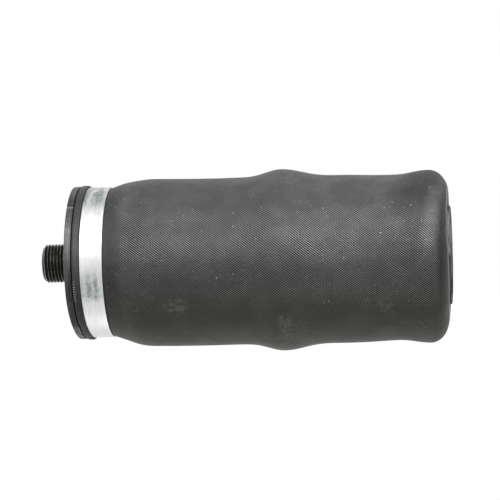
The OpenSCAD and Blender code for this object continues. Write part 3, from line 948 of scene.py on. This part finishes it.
def fold_tones(p, base):
    """Painted shade in the fold, a painted highlight along the lobe's ridge, and painted shade
    above that on one side.
    """
    slant = p.plus(p.z, p.times(p.larger(p.less(p.x, FOLD_SLANT_X), 0.0), FOLD_SLOPE))
    # Painted shade in the fold
    painted_fold_shade = p.times(p.band(slant, 6.4 * MM, 3.6 * MM), p.band(p.x, -25 * MM, -5 * MM, 0.7, 1.0))
    base = p.shade(base, painted_fold_shade, (0.22, 0.22, 0.21))
    # Painted highlight along the ridge of the lobe
    ridge = p.times(p.band(slant, 5 * MM, 8.5 * MM), p.band(slant, 15 * MM, 10 * MM))
    wear_and_painted_highlight = p.times(ridge, p.band(p.away(p.x, RIDGE_HIGHLIGHT_X), 24 * MM, 8 * MM))
    base = p.shade(base, wear_and_painted_highlight, 1.7)
    # Painted shade above the ridge of the lobe, on the +X side
    off_ridge = p.larger(p.band(p.z, 6 * MM, 11 * MM), p.band(p.x, 30 * MM, 35 * MM))
    painted_lobe_top_shade = p.times(p.band(p.z, 34 * MM, 17 * MM), off_ridge, p.band(p.x, 14 * MM, 32 * MM))
    return p.shade(base, painted_lobe_top_shade, 0.52)


def bead_tones(p, base):
    """Painted shade on the rubber close under the band, away from its middle, and painted glints
    of threads along the bead's upper edge.
    """
    painted_shade_beside_band = p.larger(p.band(p.x, 14 * MM, 28 * MM), p.band(p.x, -3 * MM, -14 * MM))
    # Painted shade close under the band, on both sides of its middle
    base = p.shade(base, p.times(p.band(p.z, 155 * MM, 163 * MM), painted_shade_beside_band), 0.66)
    upper_edge = p.band(p.z, SLEEVE_HIGH.z - 1.6 * MM, SLEEVE_HIGH.z - 1.2 * MM)
    outer_edge = p.band(p.radius(), BEAD_R - MM, BEAD_R - 0.6 * MM)
    lit = p.times(p.band(p.x, -7 * MM, -11 * MM), p.band(p.x, -21 * MM, -17 * MM))
    thread_glints = p.band(p.sums("SINE", p.times(p.angle(), EDGE_GLINT_THREADS)), -0.1, 0.5)
    # Painted glints of the threads on the bead's upper edge
    return p.mix(p.times(upper_edge, outer_edge, lit, thread_glints), base, (0.42, 0.42, 0.4))


def dirt_and_fold_highlight(p, base, thread):
    """A pale ring painted along the bottom of the fold as a highlight of its edge, dust and
    specks.
    """
    radius = p.radius()
    ring = p.times(p.band(radius, FOLD_R, FOLD_R + MM), p.band(radius, 34.5 * MM, 33 * MM))
    # Painted highlight: a pale patchy ring along the bottom of the fold
    painted_fold_edge_highlight = p.times(ring, p.band(p.z, 3.5 * MM, 2.5 * MM), p.band(p.patchy, 0.3, 0.6, 0.45, 0.9))
    base = p.mix(painted_fold_edge_highlight, base, (0.42, 0.42, 0.41))
    # Road dust caught under the bulge, on the side that lay down
    side = p.band(p.times(p.x, -1.0), 18 * MM, 38 * MM)
    below = p.band(p.z, BULGE_Z - 24 * MM, BULGE_Z - 4 * MM)
    above = p.band(p.z, BULGE_Z + 14 * MM, BULGE_Z + 2 * MM)
    caught = p.times(side, below, above, p.band(p.noise(240, 6, 0.75), 0.42, 0.66))
    base = p.mix(p.times(caught, 0.65), base, (0.20, 0.19, 0.165))
    for *spot, strength in DUSTY_SPOTS:
        on_threads = p.band(thread, 0.0, 1.0, 0.15 * strength, 0.8 * strength)
        dust = p.times(p.spot(*spot), p.band(p.fine_patchy, *NARROW), on_threads)
        base = p.mix(dust, base, (0.42, 0.415, 0.38))
    speck = p.times(p.band(p.noise(1100, 1, 0.4), 0.75, 0.78), p.band(p.noise(35, 2), 0.42, 0.58))
    return p.mix(p.times(speck, 0.9), base, (0.62, 0.61, 0.57))


def paint_rubber(name, fold_side):
    """Matte rubber with a crossed fabric print that follows the sleeve round its fold."""
    p = Rubber(name)
    height = fabric_print(p, fold_side)
    depth = print_depth(p)
    crisp = p.band(p.away(p.z, CRISP_Z), 34 * MM, 18 * MM)
    thread = p.band(height, p.plus(0.28, p.times(crisp, 0.1)), 0.87)
    bright = p.mix(crisp, (0.605, 0.605, 0.61), (0.8, 0.8, 0.805))
    plain = p.mix(p.band(p.grain, *NARROW), grey(0.072), grey(0.098))
    base = p.mix(depth, plain, p.mix(thread, grey(0.001), bright))
    for tones in (rubber_tones, fold_tones, bead_tones):
        base = tones(p, base)
    p.set(Base_Color=dirt_and_fold_highlight(p, base, thread), Specular_IOR_Level=0.3)
    p.set(Roughness=p.band(p.patchy, *WIDE, 0.5, 0.6))
    p.set(Normal=p.bump(p.plus(p.times(height, depth), p.times(p.grain, 0.2)), 0.1 * MM, 0.6))
    return p.material


def paint_band():
    """Bright rolled alloy with fine lines round it, faint grey blooms all round, and grey painted
    reflections in two places.
    """
    p = Paint("band_alloy")
    x, y, z = p.axes()
    lines = p.noise(2.2, 4, 0.7, p.wrapped(900))
    drawn_out = p.vector(p.times(x, 70), p.times(y, 70), p.times(z, 260))
    smeared = p.noise(1.0, 4, 0.6, drawn_out)
    # Painted reflections of dark surroundings: one over the +X side, and two streaks round the
    # band on the -X side
    above = p.times(p.band(x, 25 * MM, 31.5 * MM), p.band(x, 37 * MM, 34 * MM, 0.5, 0.9))
    below = p.times(p.band(x, 0.0, -12 * MM), p.band(x, -20.5 * MM, -15.5 * MM))
    upper_streak = p.band(p.away(z, BAND_MIDDLE + 1.3 * MM), 2.2 * MM, 0.4 * MM, 0.5, 0.85)
    lower_streak = p.band(p.away(z, BAND_MIDDLE - 2 * MM), 1.8 * MM, 0.4 * MM)
    painted_reflection_places = p.larger(above, p.times(below, p.larger(upper_streak, lower_streak)))
    smeared_more = p.plus(smeared, p.times(lower_streak, 0.14))
    grainy = p.band(p.noise(620, 3, 0.6), 0.35, 0.6, 0.75, 1.35)
    strength = p.plus(p.times(painted_reflection_places, 0.85), 0.06)
    bloom_and_painted_reflection = p.times(p.band(smeared_more, 0.3, 0.58), strength, grainy)
    base = p.mix(p.band(lines, *WIDE), (0.62, 0.63, 0.62), (0.75, 0.75, 0.74))
    base = p.mix(bloom_and_painted_reflection, base, (0.24, 0.28, 0.265))
    p.set(Base_Color=base, Metallic=1.0, Roughness=p.band(smeared, *WIDE, 0.3, 0.44))
    p.set(Normal=p.bump(lines, 0.02 * MM, 0.5))
    return p.material


def paint_cap():
    """Dark satin coating, paler where the rim has rubbed, with a scratch and a scuff on it, a
    painted highlight on one side and painted shade on the other.
    """
    p = Paint("cap_coating")
    x, angle, radius = p.axes()[0], p.angle(), p.radius()
    turned_lines = p.noise(1.0, 3, 0.7, p.vector(p.times(radius, 2500), angle, 0.0))
    rim_lines = p.noise(1.8, 4, 0.7, p.wrapped(1200))
    cloud = p.noise(60, 4, 0.6)
    rim = p.band(radius, CAP_HIGH.x - 0.5 * MM, CAP_HIGH.x - 0.1 * MM)
    wear_and_painted_highlight = p.times(rim, p.band(p.plus(rim_lines, cloud), 0.85, 1.25))
    base = p.mix(p.band(cloud, *WIDE), (0.034, 0.034, 0.033), (0.064, 0.064, 0.061))
    base = p.mix(wear_and_painted_highlight, base, (0.2, 0.2, 0.19))
    # Painted highlight across the +X side about x = 20 mm, and painted shade on the -X side
    base = p.shade(base, p.band(p.away(x, 20 * MM), 12 * MM, 3 * MM), 1.4)
    base = p.shade(base, p.band(x, -6 * MM, -16 * MM), 0.6)
    off_nick = p.away(angle, math.radians(RIM_NICK))
    off_scuff = p.away(angle, math.radians(RIM_SCUFF))
    scratch = p.times(p.band(off_nick, 0.022, 0.008), 0.6)
    scuff = p.times(p.band(off_scuff, 0.2, 0.08), p.band(p.noise(700, 3, 0.7), 0.4, 0.55))
    base = p.mix(p.times(rim, p.larger(scratch, scuff)), base, (0.42, 0.42, 0.41))
    p.set(Base_Color=base, Metallic=0.15, Specular_IOR_Level=0.2)
    p.set(Roughness=p.band(cloud, *WIDE, 0.34, 0.48))
    p.set(Normal=p.bump(p.plus(turned_lines, rim_lines), 0.03 * MM, 0.5))
    return p.material


def paint_stud():
    """Black phosphate coating, thin on the crests of the thread."""
    p = Paint("stud_coating")
    cloud = p.noise(400, 4, 0.65)
    crest = p.times(p.band(p.radius(), STUD_R - 0.25 * MM, STUD_R), p.band(cloud, *NARROW))
    base = p.mix(crest, (0.018, 0.018, 0.016), (0.2, 0.2, 0.185))
    p.set(Base_Color=base, Metallic=0.6, Roughness=p.band(cloud, *WIDE, 0.3, 0.5))
    p.set(Normal=p.bump(cloud, 0.02 * MM, 0.4))
    return p.material


def paint_plain(name, low, high, metallic, roughness):
    """Two close tones with a fine grain, for machined, plated and moulded pieces."""
    p = Paint(name)
    cloud = p.noise(300, 4, 0.6)
    tint = p.noise(40, 2)
    spread = 0.07
    base = p.mix(p.band(p.plus(cloud, tint), 0.7, 1.3), low, high)
    p.set(Base_Color=base, Metallic=metallic)
    p.set(Roughness=p.band(cloud, *WIDE, roughness - spread, roughness + spread))
    p.set(Normal=p.bump(cloud, 0.02 * MM, 0.5))
    return p.material


def paint_piston():
    """Dark glass-filled moulding with pale grey patches on the +X half of its foot."""
    p = Paint("piston_nylon")
    x, _, z = p.axes()
    cloud = p.noise(300, 4, 0.6)
    patches = p.band(p.noise(150, 4, 0.65), 0.38, 0.62, 0.4, 1.0)
    # Pale grey patches on the +X half of the foot's face
    on_half = p.times(p.band(z, 3 * MM, 0.5 * MM), p.band(x, -1 * MM, 2 * MM))
    pale_patches = p.times(on_half, patches, p.band(x, 24 * MM, 16 * MM, 0.4, 1.0))
    base = p.mix(p.band(cloud, *NARROW), grey(0.018), (0.034, 0.034, 0.033))
    base = p.mix(pale_patches, base, (0.58, 0.575, 0.56))
    p.set(Base_Color=base, Specular_IOR_Level=0.08)
    p.set(Roughness=p.band(p.plus(cloud, pale_patches), 0.3, 1.2, 0.5, 0.7))
    p.set(Normal=p.bump(p.plus(cloud, pale_patches), 0.02 * MM, 0.5))
    return p.material


def paint_insert():
    """Machined brass, gone brown on the face that the weather reaches."""
    p = Paint("insert_brass")
    z = p.axes()[2]
    machined = p.vector(p.times(p.radius(), 3000), p.angle(), p.times(z, 1500))
    cuts = p.noise(1.0, 3, 0.7, machined)
    cloud = p.noise(260, 4, 0.6)
    base = p.mix(p.band(cuts, *WIDE), (0.50, 0.36, 0.15), (0.66, 0.50, 0.24))
    dull = p.times(p.band(z, 1.5 * MM, 0.3 * MM), p.band(cloud, 0.2, 0.5, 0.75, 1.0))
    base = p.mix(dull, base, (0.075, 0.066, 0.05))
    p.set(Base_Color=base, Metallic=p.less(1.0, p.times(dull, 0.8)))
    p.set(Roughness=p.band(p.plus(cloud, dull), 0.3, 1.4, 0.28, 0.6))
    p.set(Normal=p.bump(cuts, 0.02 * MM, 0.4))
    return p.material


def paint_foam():
    """Cellular rubber, skinned over, with open pores here and there."""
    p = Paint("bumper_foam")
    cells = p.make("ShaderNodeTexVoronoi")
    p.feed(cells.inputs["Vector"], p.place)
    cells.inputs["Scale"].default_value = 850
    cloud = p.noise(45, 4, 0.6)
    open_share = p.band(cloud, 0.4, 0.6, 0.25, 1.0)
    pore = p.times(p.band(cells.outputs["Distance"], 0.34, 0.16), open_share)
    base = p.mix(p.band(cloud, *WIDE), (0.12, 0.095, 0.055), (0.19, 0.155, 0.095))
    base = p.mix(p.times(pore, 0.8), base, (0.035, 0.027, 0.016))
    p.set(Base_Color=base, Roughness=p.band(cloud, *WIDE, 0.62, 0.8))
    p.set(Specular_IOR_Level=0.3, Normal=p.bump(p.less(1.0, pore), 0.15 * MM, 0.6))
    return p.material


def dress(obj, material, slot, body=None, *nodes):
    obj.data.materials.append(material)
    if body:
        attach(obj, body)
    if nodes:
        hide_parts(*nodes)


def repaint(node, material):
    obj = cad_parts[node]
    for slot in obj.material_slots:
        slot.material = material


# Stage: a pale floor under the foot, lamps and a white surround
FLOOR_HALF = 0.8
FLOOR_Z = -0.2 * MM
LAMP_TARGET = Vector((0, 0, 0.1))
LAMP_DISTANCE = 0.9
SURROUND_LIGHT = 0.05
# Softboxes: name, degrees up from the front, degrees from there toward the foot, size, power
LAMPS = [
    ("key_softbox", 42, 0, 0.54, 6.4),
    ("fill_softbox", 40, -40, 0.3, 0.5),
    ("foot_softbox", 40, 60, 0.3, 1.4),
    ("low_softbox", -100, 0, 0.4, 0.6),
    ("side_softbox", -110, -55, 0.5, 1.2),
    ("back_softbox", 180, -50, 0.5, 3.0),
]


def make_floor():
    half, z = FLOOR_HALF, FLOOR_Z
    verts = [(-half, -half, z), (half, -half, z), (half, half, z), (-half, half, z)]
    floor = finish_mesh("floor", verts, [(0, 1, 2, 3)])
    p = Paint("floor_white")
    p.set(Base_Color=(0.86, 0.86, 0.86), Roughness=0.9)
    # Seen from above only; rays that light the part pass it, so the foot isn't left black
    under = p.make("ShaderNodeNewGeometry").outputs["Backfacing"]
    seen = p.make("ShaderNodeLightPath").outputs["Is Camera Ray"]
    hidden = p.larger(under, p.less(1.0, seen))
    # Partly clear round the part, and farther out so clear that the white surround takes over
    clear_share = p.larger(hidden, p.band(p.radius(), 0.1, 0.5, 0.4, 1.0))
    blend = p.make("ShaderNodeMixShader")
    p.feed(blend.inputs[0], clear_share)
    p.feed(blend.inputs[1], p.shader.outputs[0])
    p.feed(blend.inputs[2], p.make("ShaderNodeBsdfTransparent").outputs[0])
    p.feed(p.tree.nodes["Material Output"].inputs[0], blend.outputs[0])
    floor.data.materials.append(p.material)


def make_lamp(name, phi, psi, size, power):
    """Softbox aimed at the part: degrees up from the front, and from there toward the foot."""
    up, aside = math.radians(phi), math.radians(psi)
    x = math.cos(aside) * math.sin(up)
    y = -math.cos(aside) * math.cos(up)
    toward = Vector((x, y, -math.sin(aside)))
    data = bpy.data.lights.new(name, "AREA")
    data.shape = "SQUARE"
    data.size = size
    data.energy = power
    lamp = bpy.data.objects.new(name, data)
    lamp.location = LAMP_TARGET + toward * LAMP_DISTANCE
    lamp.rotation_mode = "QUATERNION"
    lamp.rotation_quaternion = (-toward).to_track_quat("-Z", "Y")
    bpy.context.scene.collection.objects.link(lamp)


def make_surround():
    """White where it is seen or mirrored, and only a faint light on the part."""
    world = bpy.data.worlds.new("surround")
    bpy.context.scene.world = world
    world.use_nodes = True
    n = Nodes(world.node_tree)
    rays = n.make("ShaderNodeLightPath").outputs
    mirrored = n.larger(rays["Is Glossy Ray"], rays["Is Transmission Ray"])
    seen = n.larger(rays["Is Camera Ray"], mirrored)
    back = n.tree.nodes["Background"].inputs
    n.feed(back["Strength"], n.band(seen, 0.0, 1.0, SURROUND_LIGHT, 1.0))
    n.feed(back["Color"], (1, 1, 1, 1))


make_camera()

sleeve_upper, sleeve_lower, sleeve_inner = make_sleeve()
for piece in (sleeve_upper, sleeve_lower, sleeve_inner):
    keep_place(piece)
outer_rubber = paint_rubber("rubber_outer", "outer")
dress(sleeve_upper, outer_rubber, "sleeve_rubber")
dress(sleeve_lower, outer_rubber, "sleeve_rubber")
dress(sleeve_inner, paint_rubber("rubber_inner", "inner"), "sleeve_rubber")
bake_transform(sleeve_upper)
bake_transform(sleeve_lower)
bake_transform(sleeve_inner)
for piece in (sleeve_upper, sleeve_lower, sleeve_inner):
    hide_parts("rubber_sleeve")

dress(make_band(), paint_band(), "band_alloy", "top", "upper_crimp_band")
coating = paint_cap()
dress(make_end_cap(), coating, "cap_steel", "top", "end_cap")
cap_rib_size = (CAP_RIB_IN_R, CAP_RIB_OUT_R, CAP_RIB_T, CAP_RIB_LOW, CAP_HOLLOW_Z)
cap_ribs = make_ribs("end_cap_ribs", TURN / RIBS / 2, *cap_rib_size)
dress(cap_ribs, coating, "cap_steel", "top", "end_cap")
dress(make_stud(), paint_stud(), "stud_steel", "top", "combo_stud")
nylon = paint_piston()
dress(make_piston(), nylon, "piston_plastic", "piston", "piston")
foot_rib_size = (FOOT_RIB_IN_R, FOOT_RIB_OUT_R, FOOT_RIB_T, 0, POCKET_H)
foot_ribs = make_ribs("piston_foot_ribs", 0, *foot_rib_size)
dress(foot_ribs, nylon, "piston_plastic", "piston", "piston")
dress(make_insert(), paint_insert(), "insert_brass", "piston", "piston_insert")
dress(make_bumper(), paint_foam(), "bumper_rubber", "piston", "bumper")

plated = paint_plain("zinc_plate", (0.50, 0.50, 0.48), (0.66, 0.66, 0.63), 1.0, 0.36)
alloy = paint_plain("closure_alloy", (0.48, 0.49, 0.49), (0.62, 0.63, 0.63), 1.0, 0.4)
seal = paint_plain("seal_rubber", grey(0.012), grey(0.028), 0.0, 0.45)
for node in ("locating_dowels", "clamp_washer", "tie_bolt", "lower_crimp_band"):
    repaint(node, plated)
for node in ("stud_seal", "closure_seal", "bolt_seal"):
    repaint(node, seal)
repaint("piston_closure", alloy)

make_floor()
for lamp in LAMPS:
    make_lamp(*lamp)
make_surround()
bpy.context.scene.view_settings.view_transform = "Standard"
